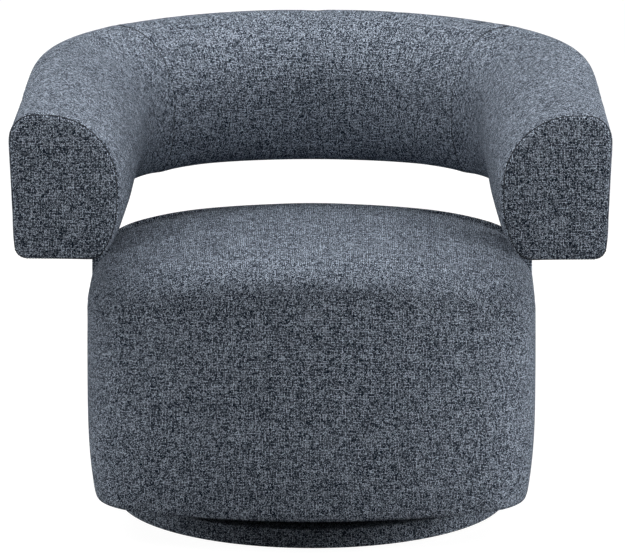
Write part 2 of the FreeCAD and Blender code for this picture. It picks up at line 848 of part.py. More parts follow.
def make_risers():
    """Boards that carry the arms, with their pads, covers and bolts."""
    board = riser_box(0.0, riser_bottom, riser_top)
    low_bolts = []
    low_nuts = []
    for y in lower_bolt_places():
        z = lower_bolt_height
        board = board.cut(bolt_hole(riser_inner_x, riser_outer_x, y, z))
        board = board.cut(head_hole(riser_outer_x, -1.0, y, z))
        low_bolts.append(riser_bolt(riser_outer_x, rail_inner_x - riser_nut_thickness, y, z))
        low_nuts.append(riser_nut(rail_inner_x, -1.0, y, z))
    high_z = bolster_bottom + upper_bolt_entry
    block_x = riser_outer_x + arm_block_depth
    block = box(riser_outer_x, block_x, arm_block_front_y, arm_block_rear_y,
                lower_board_top, upper_board_bottom)
    high_bolts = []
    high_nuts = []
    for y in upper_bolt_places():
        board = board.cut(bolt_hole(riser_inner_x, riser_outer_x, y, high_z))
        board = board.cut(head_hole(riser_inner_x, 1.0, y, high_z))
        block = block.cut(bolt_hole(riser_outer_x, block_x, y, high_z))
        high_bolts.append(riser_bolt(riser_inner_x, block_x + riser_nut_thickness, y, high_z))
        high_nuts.append(riser_nut(block_x, 1.0, y, high_z))
    pad_x = riser_outer_x + soft_clearance
    pad_bottom = riser_cover_bottom + cover_thickness
    pad = box(pad_x, pad_x + riser_pad_thickness, riser_front_y, riser_rear_y,
              pad_bottom, bolster_bottom)
    sleeve_top = bolster_bottom + riser_cover_entry
    sleeve = riser_sleeve_prism(foam_inset, riser_cover_bottom, sleeve_top)
    inside = box(riser_inner_x - soft_clearance, pad_x + riser_pad_thickness + soft_clearance,
                 riser_front_y - soft_clearance, riser_rear_y + soft_clearance,
                 riser_cover_bottom, sleeve_top)
    sleeve = sleeve.cut(inside)
    arm_space = padded_loft(-soft_clearance, arm_stations(panel_seam_angle, 0.0))
    sleeve = sleeve.cut(arm_space).Solids[0]
    pad = pad.cut(arm_space)
    for name, side in (("right", lambda s: s), ("left", mirrored)):
        export("riser_board_" + name, side(board))
        export("riser_pad_" + name, side(pad))
        export("riser_cover_" + name, side(sleeve))
    export("arm_blocks", [block, mirrored(block)])
    export("riser_lower_bolts", low_bolts + [mirrored(s) for s in low_bolts])
    export("riser_lower_nuts", low_nuts + [mirrored(s) for s in low_nuts])
    export("riser_upper_bolts", high_bolts + [mirrored(s) for s in high_bolts])
    export("riser_upper_nuts", high_nuts + [mirrored(s) for s in high_nuts])


# Back and arms
def rib(origin, angle):
    """Upright board across the path, between the lower and upper boards."""
    turn = math.radians(angle)
    along = Vector(math.cos(turn), -math.sin(turn), 0)
    point = place_on_path(origin - along * (rib_thickness / 2.0), angle)
    face = rectangle_face(upper_board_outer_set, upper_board_inner_set,
                          lower_board_top - bolster_bottom,
                          upper_board_bottom - bolster_bottom, point)
    return face.extrude(along * rib_thickness)


def make_bolster():
    """Wrapping back and arms: frame, foam and fabric panels."""
    riser_cut = riser_box(0.0, bolster_bottom, riser_top)
    lower = whole_sweep(board_profile(lower_board_outer_set, lower_board_inner_set,
                                      lower_board_bottom, lower_board_top), frame_end_set)
    lower = cut_all(lower, [riser_cut, mirrored(riser_cut)])
    upper = whole_sweep(board_profile(upper_board_outer_set, upper_board_inner_set,
                                      upper_board_bottom, upper_board_top), frame_end_set)
    ribs = []
    for angle in back_rib_angles:
        ribs.append(rib(arc_point(back_centre, back_radius, angle), angle))
    turn = back_half_angle + (arm_angle - back_half_angle) * corner_rib_share
    side_ribs = [rib(arc_point(corner_centre, corner_radius, turn), turn)]
    side_ribs.append(rib(arm_front - arm_direction * arm_rib_end_set, arm_angle))
    ribs.extend(side_ribs)
    ribs.extend([mirrored(s) for s in side_ribs])
    export("bolster_lower_board", lower.Solids[0])
    export("bolster_upper_board", upper)
    export("bolster_ribs", ribs)

    gap = soft_clearance
    low_space = whole_sweep(board_profile(lower_board_outer_set - gap, lower_board_inner_set + gap,
                                          lower_board_bottom - gap, lower_board_top + gap),
                            frame_end_set - gap)
    high_space = whole_sweep(board_profile(upper_board_outer_set - gap,
                                           upper_board_inner_set + gap,
                                           lower_board_top - gap, upper_board_top + gap),
                             frame_end_set - gap)
    riser_space = riser_box(gap, bolster_bottom - gap, riser_top + gap)
    block_space = box(riser_outer_x, riser_outer_x + arm_block_depth + riser_nut_thickness + gap,
                      arm_block_front_y - gap, arm_block_rear_y + gap,
                      lower_board_top - gap, upper_board_bottom + gap)
    spaces = [low_space, high_space, riser_space, block_space]
    seam = math.degrees(gap / (2.0 * back_radius))
    back_pad = padded_loft(0.0, back_stations(panel_seam_angle - seam))
    arm_pad = padded_loft(0.0, arm_stations(panel_seam_angle + seam, arm_end_pad_thickness + gap))
    end_pad = arm_sweep(solid_profile(0.0), arm_end_pad_thickness, 0.0)
    back_pad = cut_all(back_pad, [low_space, high_space]).Solids[0]
    arm_pad = cut_all(arm_pad, spaces).Solids[0]
    export("back_pad", back_pad)
    export("arm_pad_right", arm_pad)
    export("arm_pad_left", mirrored(arm_pad))
    export("arm_end_pad_right", end_pad)
    export("arm_end_pad_left", mirrored(end_pad))


make_base()
make_swivel()
make_seat_frame()
make_seat_upholstery()
make_risers()
make_bolster()
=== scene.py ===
import json
import math
from collections import namedtuple

import bmesh
import bpy
import numpy as np
from mathutils import Matrix, Vector


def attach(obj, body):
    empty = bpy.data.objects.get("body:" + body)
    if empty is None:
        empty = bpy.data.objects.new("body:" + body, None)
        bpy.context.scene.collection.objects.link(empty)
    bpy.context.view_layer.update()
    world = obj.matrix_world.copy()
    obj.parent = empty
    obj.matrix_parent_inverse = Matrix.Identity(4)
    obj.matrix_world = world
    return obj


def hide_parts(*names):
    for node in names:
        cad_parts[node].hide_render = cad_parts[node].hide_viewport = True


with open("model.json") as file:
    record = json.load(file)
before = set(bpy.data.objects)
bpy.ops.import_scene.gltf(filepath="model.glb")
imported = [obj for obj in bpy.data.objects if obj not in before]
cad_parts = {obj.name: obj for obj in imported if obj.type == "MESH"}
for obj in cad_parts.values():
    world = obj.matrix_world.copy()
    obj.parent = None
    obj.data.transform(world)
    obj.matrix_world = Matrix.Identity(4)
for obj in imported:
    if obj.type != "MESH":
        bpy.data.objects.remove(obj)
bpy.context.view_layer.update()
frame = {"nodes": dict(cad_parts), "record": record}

# Sizes of the upholstery, in metres, as the CAD source has them
chair_width = 0.890
chair_depth = 0.780
chair_height = 0.692
back_radius = 0.470
back_half_angle = 46.0
corner_radius = 0.330
panel_seam_angle = 43.5
bolster_height = 0.221
crest_outer_radius = 0.038
crest_inner_radius = 0.106
crest_inner_set = 0.0556
lower_face_radius = 0.147
lower_face_height = 0.088
under_inner_radius = 0.026
under_outer_radius = 0.020
wall_lean = 0.006
seat_half_width = 0.336
seat_front_y = -0.367
seat_rear_y = 0.330
seat_front_radius = 0.680
seat_rear_radius = 0.900
seat_front_corner = 0.115
seat_rear_corner = 0.210
seat_bottom = 0.061
crown_height = 0.4345
crown_pitch = 0.093
crown_side_radius = 1.280
crown_length_radius = 5.000
shoulder_radius = 0.040
foot_inset = 0.014
foot_rise = 0.110
base_radius = 0.299
base_bottom = 0.004
base_top = 0.034
base_cover_top_width = 0.060
base_cover_bottom_width = 0.018
base_cover_edge = 0.003
cloth_thickness = 0.002

# Cushions: mesh cells, rolled seams, and the fuller stretch of the arms
cell_size = 0.008
seam_roll = 0.009
seam_depth = 0.0022
end_pad_depth = 0.0051
joint_gap = 0.00015
cap_dome = 0.004
cap_rim_inset = 0.0055
arm_fullness = 0.008
arm_full_front = 0.050
arm_full_back = 0.220
seat_rings = 34
seat_seam_inset = 0.0272
seat_seam_width = 0.0035
seat_seam_depth = 0.0012
seat_pad_bottom = 0.2735
side_height = 0.232
side_steps = 28
turn_under = 0.040

# Room for swelling, how far from a held edge it grows, and the most that a point may move
puff_start = 0.002
puff_reach = 0.030
puff_limit = 0.005
swell_frames = 16

# Cloth: size of a cell of the weave, and the weave's scale on each cushion
yarn_pitch = 0.0012
top_weave = np.array([0.85, 0.58])
shoulder_weave = 1.25
bolster_weave = 0.90

# Photograph's size in pixels
photo_width = 625
photo_height = 560

bolster_bottom = chair_height - bolster_height
section_width = crest_inner_set + crest_inner_radius
back_centre = np.array([0.0, chair_depth / 2.0 - back_radius])


# Mesh helpers
def link(obj):
    """Puts an object into the scene."""
    bpy.context.scene.collection.objects.link(obj)
    return obj


def mesh_object(name, points, faces, uvs=None, smooth=True):
    """Mesh object from points and faces, with a UV in metres for each point."""
    mesh = bpy.data.meshes.new(name)
    mesh.from_pydata([tuple(p) for p in points], [], [tuple(f) for f in faces])
    if uvs is not None:
        layer = mesh.uv_layers.new(name="Cloth")
        for loop in mesh.loops:
            layer.data[loop.index].uv = uvs[loop.vertex_index]
    mesh.update()
    mesh.polygons.foreach_set("use_smooth", [smooth] * len(mesh.polygons))
    return link(bpy.data.objects.new(name, mesh))


def grid_faces(rows, columns, closed):
    """Quads between rows of points that close up; the rows close up as well if asked."""
    faces = []
    for i in range(rows if closed else rows - 1):
        m = (i + 1) % rows
        for j in range(columns):
            k = (j + 1) % columns
            faces.append((i * columns + j, i * columns + k, m * columns + k, m * columns + j))
    return faces


def strip_cap(ring):
    """Flat cap of quads across a closed ring with an even number of points."""
    ring = list(ring)
    count = len(ring)
    return [(ring[k], ring[k + 1], ring[count - 2 - k], ring[count - 1 - k])
            for k in range(count // 2 - 1)]


def carry_uv(obj, axis, length):
    """Carries one UV on past its start in the faces that close a round."""
    layer = obj.data.uv_layers["Cloth"].data
    for face in obj.data.polygons:
        values = [layer[i].uv[axis] for i in face.loop_indices]
        if max(values) - min(values) > length / 2.0:
            for i in face.loop_indices:
                if layer[i].uv[axis] < length / 2.0:
                    layer[i].uv[axis] += length


def faces_out(obj):
    """Turns the faces of a closed mesh outwards."""
    work = bmesh.new()
    work.from_mesh(obj.data)
    bmesh.ops.recalc_face_normals(work, faces=work.faces)
    work.to_mesh(obj.data)
    work.free()
    obj.data.update()
    return obj


# Node sums
class Value:
    """Wraps a node's socket so that sums can be written as such."""

    def __init__(self, tree, socket):
        self.tree = tree
        self.socket = socket

    def math(self, operation, other=None, third=None):
        node = self.tree.nodes.new("ShaderNodeMath")
        node.operation = operation
        for index, value in enumerate((self, other, third)):
            if isinstance(value, Value):
                self.tree.links.new(value.socket, node.inputs[index])
            elif value is not None:
                node.inputs[index].default_value = value
        return Value(self.tree, node.outputs[0])

    def __add__(self, other):
        return self.math("ADD", other)

    def __radd__(self, other):
        return self.math("ADD", other)

    def __sub__(self, other):
        return self.math("SUBTRACT", other)

    def __rsub__(self, other):
        return (self * -1.0) + other

    def __mul__(self, other):
        return self.math("MULTIPLY", other)

    def __rmul__(self, other):
        return self.math("MULTIPLY", other)

    def __truediv__(self, other):
        return self.math("DIVIDE", other)

    def __mod__(self, other):
        return self.math("FLOORED_MODULO", other)

    def floor(self):
        return self.math("FLOOR")

    def between(self, low, high):
        """0 below low, 1 above high, and even in between."""
        share = (self - low) / (high - low)
        return share.math("MAXIMUM", 0.0).math("MINIMUM", 1.0)

    def mix(self, low, high):
        """Low where this is 0 and high where it is 1."""
        if isinstance(high, Value):
            return (high - low) * self + low
        return self * (high - low) + low


class Nodes:
    """Adds nodes to one tree."""

    def __init__(self, tree):
        self.tree = tree
        tree.nodes.clear()

    def feed(self, node, key, value):
        """Links or sets one input, found by its name or number."""
        socket = node.inputs[key]
        if isinstance(value, Value):
            self.tree.links.new(value.socket, socket)
        elif isinstance(value, bpy.types.NodeSocket):
            self.tree.links.new(value, socket)
        else:
            socket.default_value = value

    def node(self, kind, settings=None, numbered=(), **inputs):
        """New node with its settings, then its inputs in their order or by name."""
        node = self.tree.nodes.new(kind)
        for key, value in (settings or {}).items():
            setattr(node, key, value)
        for number, value in enumerate(numbered):
            self.feed(node, number, value)
        for key, value in inputs.items():
            self.feed(node, key.replace("_", " "), value)
        return node

    def value(self, socket):
        """Socket as a value for sums."""
        return Value(self.tree, socket)

    def vector(self, x, y, z):
        """Vector from three values."""
        return self.node("ShaderNodeCombineXYZ", X=x, Y=y, Z=z).outputs[0]

    def noise(self, vector, scale, detail=0.0, rough=0.5):
        """Smooth noise from 0 to 1 at a vector."""
        node = self.node("ShaderNodeTexNoise", {"noise_dimensions": "3D"}, Vector=vector,
                         Scale=scale, Detail=detail, Roughness=rough)
        return self.value(node.outputs["Fac"])

    def grains(self, vector):
        """Separate random value for each whole place."""
        node = self.node("ShaderNodeTexWhiteNoise", {"noise_dimensions": "3D"}, Vector=vector)
        return self.value(node.outputs["Value"])


class Shader(Nodes):
    """Material with one surface."""

    def __init__(self, name):
        self.material = bpy.data.materials.new(name)
        self.material.use_nodes = True
        super().__init__(self.material.node_tree)
        self.surface = self.node("ShaderNodeBsdfPrincipled")
        self.output = self.node("ShaderNodeOutputMaterial", Surface=self.surface.outputs[0])

    def set(self, **inputs):
        """Sets or links inputs of the surface."""
        for key, value in inputs.items():
            self.feed(self.surface, key.replace("_", " "), value)


# Section of the back and arms
def section_arcs():
    """Five arcs that meet smoothly: centre, radius, first and last angle."""
    low_x = wall_lean + under_outer_radius
    low_y = under_outer_radius
    top_x = crest_outer_radius
    top_y = bolster_height - crest_outer_radius
    span = math.hypot(top_x - low_x, top_y - low_y)
    lean = math.atan2(top_y - low_y, top_x - low_x)
    wall = lean + math.acos((under_outer_radius - crest_outer_radius) / span)
    inner_x = crest_inner_set
    inner_y = bolster_height - crest_inner_radius
    face_x = inner_x + crest_inner_radius - lower_face_radius
    face_y = lower_face_height
    reach = lower_face_radius - under_inner_radius
    drop = face_y - under_inner_radius
    heel_x = face_x + math.sqrt(reach ** 2 - drop ** 2)
    heel_y = under_inner_radius
    heel = math.atan2(heel_y - face_y, heel_x - face_x)
    quarter = math.pi / 2.0
    return [(low_x, low_y, under_outer_radius, -quarter, wall - 2.0 * math.pi),
            (top_x, top_y, crest_outer_radius, wall, quarter),
            (inner_x, inner_y, crest_inner_radius, quarter, 0.0),
            (face_x, face_y, lower_face_radius, 0.0, heel),
            (heel_x, heel_y, under_inner_radius, heel, -quarter)]


def even_outline(points, step):
    """Closed outline with points at even distances, its unit tangents and the distances."""
    points = np.array(points)
    closed = np.vstack([points, points[:1]])
    lengths = np.hypot(*np.diff(closed, axis=0).T)
    along = np.concatenate([[0.0], np.cumsum(lengths)])
    count = 2 * int(round(along[-1] / step / 2.0))
    places = np.arange(count) * along[-1] / count
    even = np.stack([np.interp(places, along, closed[:, k]) for k in (0, 1)], axis=1)
    tangent = np.roll(even, -1, axis=0) - np.roll(even, 1, axis=0)
    tangent /= np.hypot(*tangent.T)[:, None]
    return even, tangent, places


def bolster_section():
    """Even points of the section as set inwards and height, their normals and distances."""
    points = []
    for cx, cy, radius, first, last in section_arcs():
        for turn in np.linspace(first, last, 60)[:-1]:
            points.append((cx + radius * math.cos(turn), cy + radius * math.sin(turn)))
    even, tangent, places = even_outline(points, cell_size)
    normal = np.stack([-tangent[:, 1], tangent[:, 0]], axis=1)
    centre = even.mean(axis=0)
    if ((even - centre) * normal).sum() < 0.0:
        normal = -normal
    return even, normal, places


section, section_normal, section_places = bolster_section()


# Path of the back and arms
def path_ends():
    """Centre of the corner arc, front point of the arm and the arm's bearing."""
    turn = math.radians(back_half_angle)
    reach = back_radius - corner_radius
    centre = back_centre + reach * np.array([math.sin(turn), math.cos(turn)])
    front = np.array([chair_width / 2.0, -chair_depth / 2.0])
    last = 0.0
    for _ in range(6):
        offset = front - centre
        last = math.atan2(offset[0], offset[1]) - math.acos(corner_radius / np.hypot(*offset))
        lead = section_width * max(math.cos(last), 0.0)
        front = np.array([chair_width / 2.0, -chair_depth / 2.0 + lead])
    return centre, front, math.degrees(last)


corner_centre, arm_front, arm_angle = path_ends()
back_length = back_radius * math.radians(back_half_angle)
corner_length = corner_radius * math.radians(arm_angle - back_half_angle)


def bearing(angle):
    """Unit outward direction of the path at an angle from straight back."""
    turn = math.radians(angle)
    return np.array([math.sin(turn), math.cos(turn)])


corner_end = corner_centre + corner_radius * bearing(arm_angle)
arm_length = float(np.hypot(*(arm_front - corner_end)))
arm_direction = (arm_front - corner_end) / arm_length


def path_at(distance):
    """Point and outward direction at a distance along the outer path from the middle."""
    side = 1.0 if distance >= 0.0 else -1.0
    size = abs(distance)
    if size <= back_length:
        angle = math.degrees(size / back_radius)
        point = back_centre + back_radius * bearing(angle)
    elif size <= back_length + corner_length:
        angle = back_half_angle + math.degrees((size - back_length) / corner_radius)
        point = corner_centre + corner_radius * bearing(angle)
    else:
        angle = arm_angle
        point = corner_end + arm_direction * (size - back_length - corner_length)
    outward = bearing(angle)
    flip = np.array([side, 1.0])
    return point * flip, outward * flip


def roll_in(distance, width, depth):
    """Drop of a rolled edge at a distance from its seam."""
    if distance >= width:
        return 0.0
    share = 1.0 - distance / width
    return depth * (1.0 - math.sqrt(max(1.0 - share ** 2, 0.0)))


def even_stations(first, last):
    """Stations from first to last, closer together beside the rolled ends."""
    count = max(int(round((last - first) / cell_size)), 4)
    stations = list(np.linspace(first, last, count + 1))
    extra = []
    for share in (0.04, 0.15, 0.4, 0.7):
        extra += [first + seam_roll * share, last - seam_roll * share]
    kept = [s for s in stations[1:-1]
            if s - first > seam_roll * 0.9 and last - s > seam_roll * 0.9]
    return sorted([stations[0]] + extra + kept + [stations[-1]])


def arm_full(distance, first, last):
    """Extra fullness of an arm's inner and lower faces at a station."""
    front = last - abs(distance) if distance > 0.0 else abs(first) - abs(distance)
    back = abs(distance) - min(abs(first), abs(last))
    grown = min(1.0, front / arm_full_front) ** 0.6
    return arm_fullness * grown * min(1.0, back / arm_full_back) ** 2.0


def flat_share(window):
    """Share of flatness at each point of the section: 1 on a flat, less on a tight round."""
    round_loss = 0.03
    change = (np.roll(section_normal, window, axis=0)
              - np.roll(section_normal, -window, axis=0))
    rate = np.linalg.norm(change, axis=1) / (2.0 * window * cell_size)
    return np.clip(1.0 - rate * round_loss, 0.0, 1.0)


def bolster_piece(name, first, last, fuller):
    """Padded piece of the back or an arm: the section along the path, rolled in at both ends."""
    stations = even_stations(first, last)
    facing_in = np.clip(section_normal[:, 0] * 0.9 - section_normal[:, 1] * 0.5, 0.0, 1.0)
    room = flat_share(3)
    points = []
    uvs = []
    for distance in stations:
        point, outward = path_at(distance)
        near = min(distance - first, last - distance)
        inset = puff_start * min(1.0, near / puff_reach)
        sunk = roll_in(near, seam_roll, seam_depth)
        full = arm_full(distance, first, last) if fuller else 0.0
        for k, (flat, normal) in enumerate(zip(section, section_normal)):
            size = inset * room[k] + sunk - full * facing_in[k]
            place = point - outward * (flat[0] - normal[0] * size)
            points.append((place[0], place[1], bolster_bottom + (flat[1] - normal[1] * size)))
            uvs.append((distance * bolster_weave, section_places[k] * bolster_weave))
    rows = len(stations)
    count = len(section)
    ends = list(range(count)), list(range((rows - 1) * count, rows * count))
    faces = grid_faces(rows, count, False) + strip_cap(ends[0]) + strip_cap(ends[1])
    obj = mesh_object(name, points, faces, uvs)
    carry_uv(obj, 1, (section_places[-1] + cell_size) * bolster_weave)
    return obj, ends[0] + ends[1]


# Seat outline
def plan_corner(y_end, sign, end_radius, corner_size):
    """Centres and the meeting angle of an end arc and its right corner arc."""
    middle_y = y_end + sign * end_radius
    cx = seat_half_width - corner_size
    reach = end_radius - corner_size
    cy = middle_y - sign * math.sqrt(reach ** 2 - cx ** 2)
    return middle_y, cx, cy, math.atan2(cy - middle_y, cx)


def plan_outline(step):
    """Even outline of the seat's plan with outward normals and distances round it."""
    half = []
    for y_end, sign, end_radius, corner_size in (
            (seat_front_y, 1.0, seat_front_radius, seat_front_corner),
            (seat_rear_y, -1.0, seat_rear_radius, seat_rear_corner)):
        middle_y, cx, cy, turn = plan_corner(y_end, sign, end_radius, corner_size)
        row = []
        for angle in np.linspace(-sign * math.pi / 2.0, turn, 80):
            row.append((end_radius * math.cos(angle), middle_y + end_radius * math.sin(angle)))
        for angle in np.linspace(turn, 0.0, 60)[1:]:
            row.append((cx + corner_size * math.cos(angle), cy + corner_size * math.sin(angle)))
        half += row if sign > 0 else row[::-1]
    other = [(-x, y) for x, y in half[::-1] if abs(x) > 1e-6]
    even, tangent, places = even_outline(half + other, step)
    normal = np.stack([tangent[:, 1], -tangent[:, 0]], axis=1)
    return even, normal, places


def crown_at(x, y):
    """Height of the crown above a place of the plan."""
    along = y - (seat_front_y + seat_rear_y) / 2.0
    fall = along ** 2 / (2.0 * crown_length_radius) + x ** 2 / (2.0 * crown_side_radius)
    return crown_height - crown_pitch * along - fall


# Soft swelling
def points_of(mesh):
    """Points of a mesh as rows of an array."""
    places = np.empty(len(mesh.vertices) * 3)
    mesh.vertices.foreach_get("co", places)
    return places.reshape(-1, 3)


def swell(obj, pins, pressure):
    """Blows the cover out against its stiffness, then keeps each point near its start."""
    start = points_of(obj.data)
    group = obj.vertex_groups.new(name="pins")
    group.add(sorted(pins), 1.0, "REPLACE")
    cloth = obj.modifiers.new("Swell", "CLOTH")
    settings = cloth.settings
    settings.quality = 5
    settings.mass = 0.4
    settings.tension_stiffness = 25.0
    settings.compression_stiffness = 25.0
    settings.shear_stiffness = 8.0
    settings.bending_stiffness = 1.5
    settings.air_damping = 4.0
    settings.use_pressure = True
    settings.uniform_pressure_force = pressure
    settings.effector_weights.gravity = 0.0
    settings.vertex_group_mass = "pins"
    cloth.collision_settings.use_collision = False
    cloth.collision_settings.use_self_collision = False
    cloth.point_cache.frame_start = 1
    cloth.point_cache.frame_end = swell_frames
    scene = bpy.context.scene
    for number in range(1, swell_frames + 1):
        scene.frame_set(number)
    graph = bpy.context.evaluated_depsgraph_get()
    moved = points_of(obj.evaluated_get(graph).data) - start
    obj.modifiers.remove(cloth)
    scene.frame_set(1)
    size = np.maximum(np.linalg.norm(moved, axis=1), 1e-9)
    kept = puff_limit * np.tanh(size / puff_limit)
    final = start + moved * (kept / size)[:, None]
    obj.data.vertices.foreach_set("co", final.ravel())
    obj.data.update()
    obj.vertex_groups.clear()


def smooth_copy(obj):
    """Applies one smooth subdivision to the mesh itself."""
    subdivide = obj.modifiers.new("Smooth", "SUBSURF")
    subdivide.levels = 1
    subdivide.render_levels = 1
    subdivide.boundary_smooth = "PRESERVE_CORNERS"
    graph = bpy.context.evaluated_depsgraph_get()
    mesh = bpy.data.meshes.new_from_object(obj.evaluated_get(graph))
    obj.modifiers.remove(subdivide)
    old = obj.data
    obj.data = mesh
    mesh.name = obj.name
    bpy.data.meshes.remove(old)
    obj.data.polygons.foreach_set("use_smooth", [True] * len(obj.data.polygons))
    return obj


# Padded pieces of the back and arms
arm_end = back_length + corner_length + arm_length
seam_place = back_radius * math.radians(panel_seam_angle)


def square_ring(i, j):
    """Share of the way round for a place of a square grid, from the middle of its right side."""
    r = max(abs(i), abs(j))
    if r == 0:
        return 0.0
    if i == r and j > -r:
        turn = j / r
    elif j == r:
        turn = 1.0 + (r - i) / r
    elif i == -r:
        turn = 3.0 + (r - j) / r
    else:
        turn = 5.0 + (r + i) / r
    return (turn / 8.0) % 1.0


def disc_grid(rings):
    """Places of a square grid as ring share and turn, and its quads."""
    size = 2 * rings + 1
    places = []
    for i in range(-rings, rings + 1):
        for j in range(-rings, rings + 1):
            places.append((max(abs(i), abs(j)) / rings, square_ring(i, j)))
    faces = []
    for i in range(size - 1):
        for j in range(size - 1):
            faces.append((i * size + j, (i + 1) * size + j,
                          (i + 1) * size + j + 1, i * size + j + 1))
    rim = {}
    for index, (share, turn) in enumerate(places):
        if share == 1.0:
            rim[round(turn * 8 * rings) % (8 * rings)] = index
    return places, faces, [rim[k] for k in range(8 * rings)]


def closed_at(values, share):
    """Value of a closed even row at a share of the way round."""
    count = len(values)
    place = (share % 1.0) * count
    low = int(math.floor(place))
    rest = place - low
    return values[low % count] * (1.0 - rest) + values[(low + 1) % count] * rest


def rim_bands(points, uvs, faces, rim, bands):
    """Adds bands of points outside a grid's rim; each band gives point and UV by rim place."""
    before = rim
    count = len(rim)
    rows = []
    for band in bands:
        row = []
        for k in range(count):
            point, uv = band(k / count)
            points.append(point)
            uvs.append(uv)
            row.append(len(points) - 1)
        for k in range(count):
            n = (k + 1) % count
            faces.append((before[k], row[k], row[n], before[n]))
        before = row
        rows.append(row)
    return rows


def end_pad(name, side):
    """Pad on the front of an arm: a low dome with a rolled rim, closed at the back."""
    rings = 10
    places, faces, rim = disc_grid(rings)
    point, outward = path_at(side * arm_end)
    ahead = np.array([arm_direction[0] * side, arm_direction[1]])
    middle = section.mean(axis=0)
    points = []
    uvs = []

    def put(flat, forward):
        place = point - outward * flat[0] + ahead * forward
        return (place[0], place[1], bolster_bottom + flat[1])

    def drawn_in(turn, inset):
        return closed_at(section, turn) - closed_at(section_normal, turn) * inset

    for share, turn in places:
        flat = middle + (drawn_in(turn, cap_rim_inset) - middle) * share
        rise = cap_dome * (1.0 - share ** 2.4)
        points.append(put(flat, rise - 0.0003))
        uvs.append((flat[0] * side, flat[1]))
    bands = []
    for inset, forward in ((0.0037, -0.0008), (0.0029, -0.0018), (0.0026, -0.0030),
                           (0.0027, -0.0042), (0.0030, -end_pad_depth + joint_gap)):
        def band(turn, inset=inset, forward=forward):
            flat = drawn_in(turn, inset)
            return put(flat, forward), (flat[0] * side, flat[1])
        bands.append(band)
    rows = rim_bands(points, uvs, faces, rim, bands)
    faces += strip_cap(rows[-1])
    return mesh_object(name, points, faces, uvs)


# Seat
seat_centre = np.array([0.0, (seat_front_y + seat_rear_y) / 2.0])
plan_step = 0.004
plan, plan_normal, plan_places = plan_outline(plan_step)
start = int(np.argmin(np.abs(plan[:, 1] - seat_centre[1]) + (plan[:, 0] < 0) * 9.0))
plan = np.roll(plan, -start, axis=0)
plan_normal = np.roll(plan_normal, -start, axis=0)
plan_length = plan_places[-1] + plan_places[1]


def plan_at(turn, inset):
    """Place on the seat's outline, drawn in, at a share of the way round."""
    return closed_at(plan, turn) - closed_at(plan_normal, turn) * inset


def shoulder_place(turn, inset, sink):
    """Point on the rounded shoulder where the outline is drawn in by the inset."""
    place = plan_at(turn, inset)
    reach = max(shoulder_radius - inset, 0.0)
    drop = shoulder_radius - math.sqrt(max(shoulder_radius ** 2 - reach ** 2, 0.0))
    return (place[0], place[1], crown_at(*place) - drop - sink)


def seat_top(name):
    """Top pad: the crown, its edge tucked behind the wrap's, and the foam body below."""
    seat_reach = 0.3
    edge_reach = 0.05
    wall_heights = (0.395, 0.35, seat_pad_bottom)
    places, faces, rim = disc_grid(seat_rings)
    points = []
    uvs = []
    for share, turn in places:
        edge = plan_at(turn, shoulder_radius)
        place = seat_centre + (edge - seat_centre) * share
        near = (1.0 - share) * seat_reach + shoulder_radius - seat_seam_inset
        sink = puff_start * min(1.0, near / edge_reach)
        points.append((place[0], place[1], crown_at(*place) - sink))
        uvs.append(tuple(np.array(place[:2]) * top_weave))
    bands = []
    for near, sink in ((0.0085, 0.0), (0.0050, 0.0), (0.0012, 0.0), (0.0002, 0.0),
                       (-0.0004, 0.00015), (-0.0004, 0.0012)):
        def band(turn, near=near, sink=sink):
            place = shoulder_place(turn, seat_seam_inset + near, sink)
            return place, tuple(np.array(place[:2]) * top_weave)
        bands.append(band)
    for z in wall_heights:
        def wall(turn, z=z):
            place = plan_at(turn, seat_seam_inset)
            return (place[0], place[1], z), (place[0], place[1])
        bands.append(wall)
    rows = rim_bands(points, uvs, faces, rim, bands)
    faces += strip_cap(rows[-1])
    pins = [k for row in rows[2:] for k in row]
    return mesh_object(name, points, faces, uvs), pins


def arc_drop(over):
    """Inset and drop of the shoulder at a distance down it from the joint with the top pad."""
    first = math.acos(1.0 - seat_seam_inset / shoulder_radius)
    turn = max(first - over / shoulder_radius, 0.0)
    return shoulder_radius * (1.0 - math.cos(turn)), shoulder_radius * (1.0 - math.sin(turn))


WrapRow = namedtuple("WrapRow", "place along over held")
side_bottom = seat_bottom + foot_rise


def flat_row(inset, z):
    """Row of the wrap at one height, drawn in by the inset."""
    def row(turn):
        place = plan_at(turn, inset)
        return (place[0], place[1], z)
    return row


def foot_rows():
    """Rows of the wrap's turned-under edge and tapered foot, and the cloth's length so far."""
    rows = [WrapRow(flat_row(0.0268, seat_bottom + 0.004), 0.0, None, True),
            WrapRow(flat_row(turn_under, seat_bottom + 0.0023), 0.0, None, True),
            WrapRow(flat_row(turn_under, seat_bottom + 0.0003), 0.02, None, True),
            WrapRow(flat_row(turn_under - 0.008, seat_bottom), 0.028, None, True),
            WrapRow(flat_row(foot_inset + 0.0012, seat_bottom), 0.0448, None, True)]
    along = 0.046
    place = (foot_inset, seat_bottom)
    for turn in np.linspace(0.0, math.pi / 2.0, 20):
        inset = foot_inset * (1.0 - math.sin(turn))
        z = seat_bottom + foot_rise * (1.0 - math.cos(turn))
        along += math.hypot(inset - place[0], z - place[1])
        place = (inset, z)
        sink = puff_start * min(1.0, (z - seat_bottom) / puff_reach)
        rows.append(WrapRow(flat_row(inset + sink, z), along, None, turn < 0.1))
    return rows, along


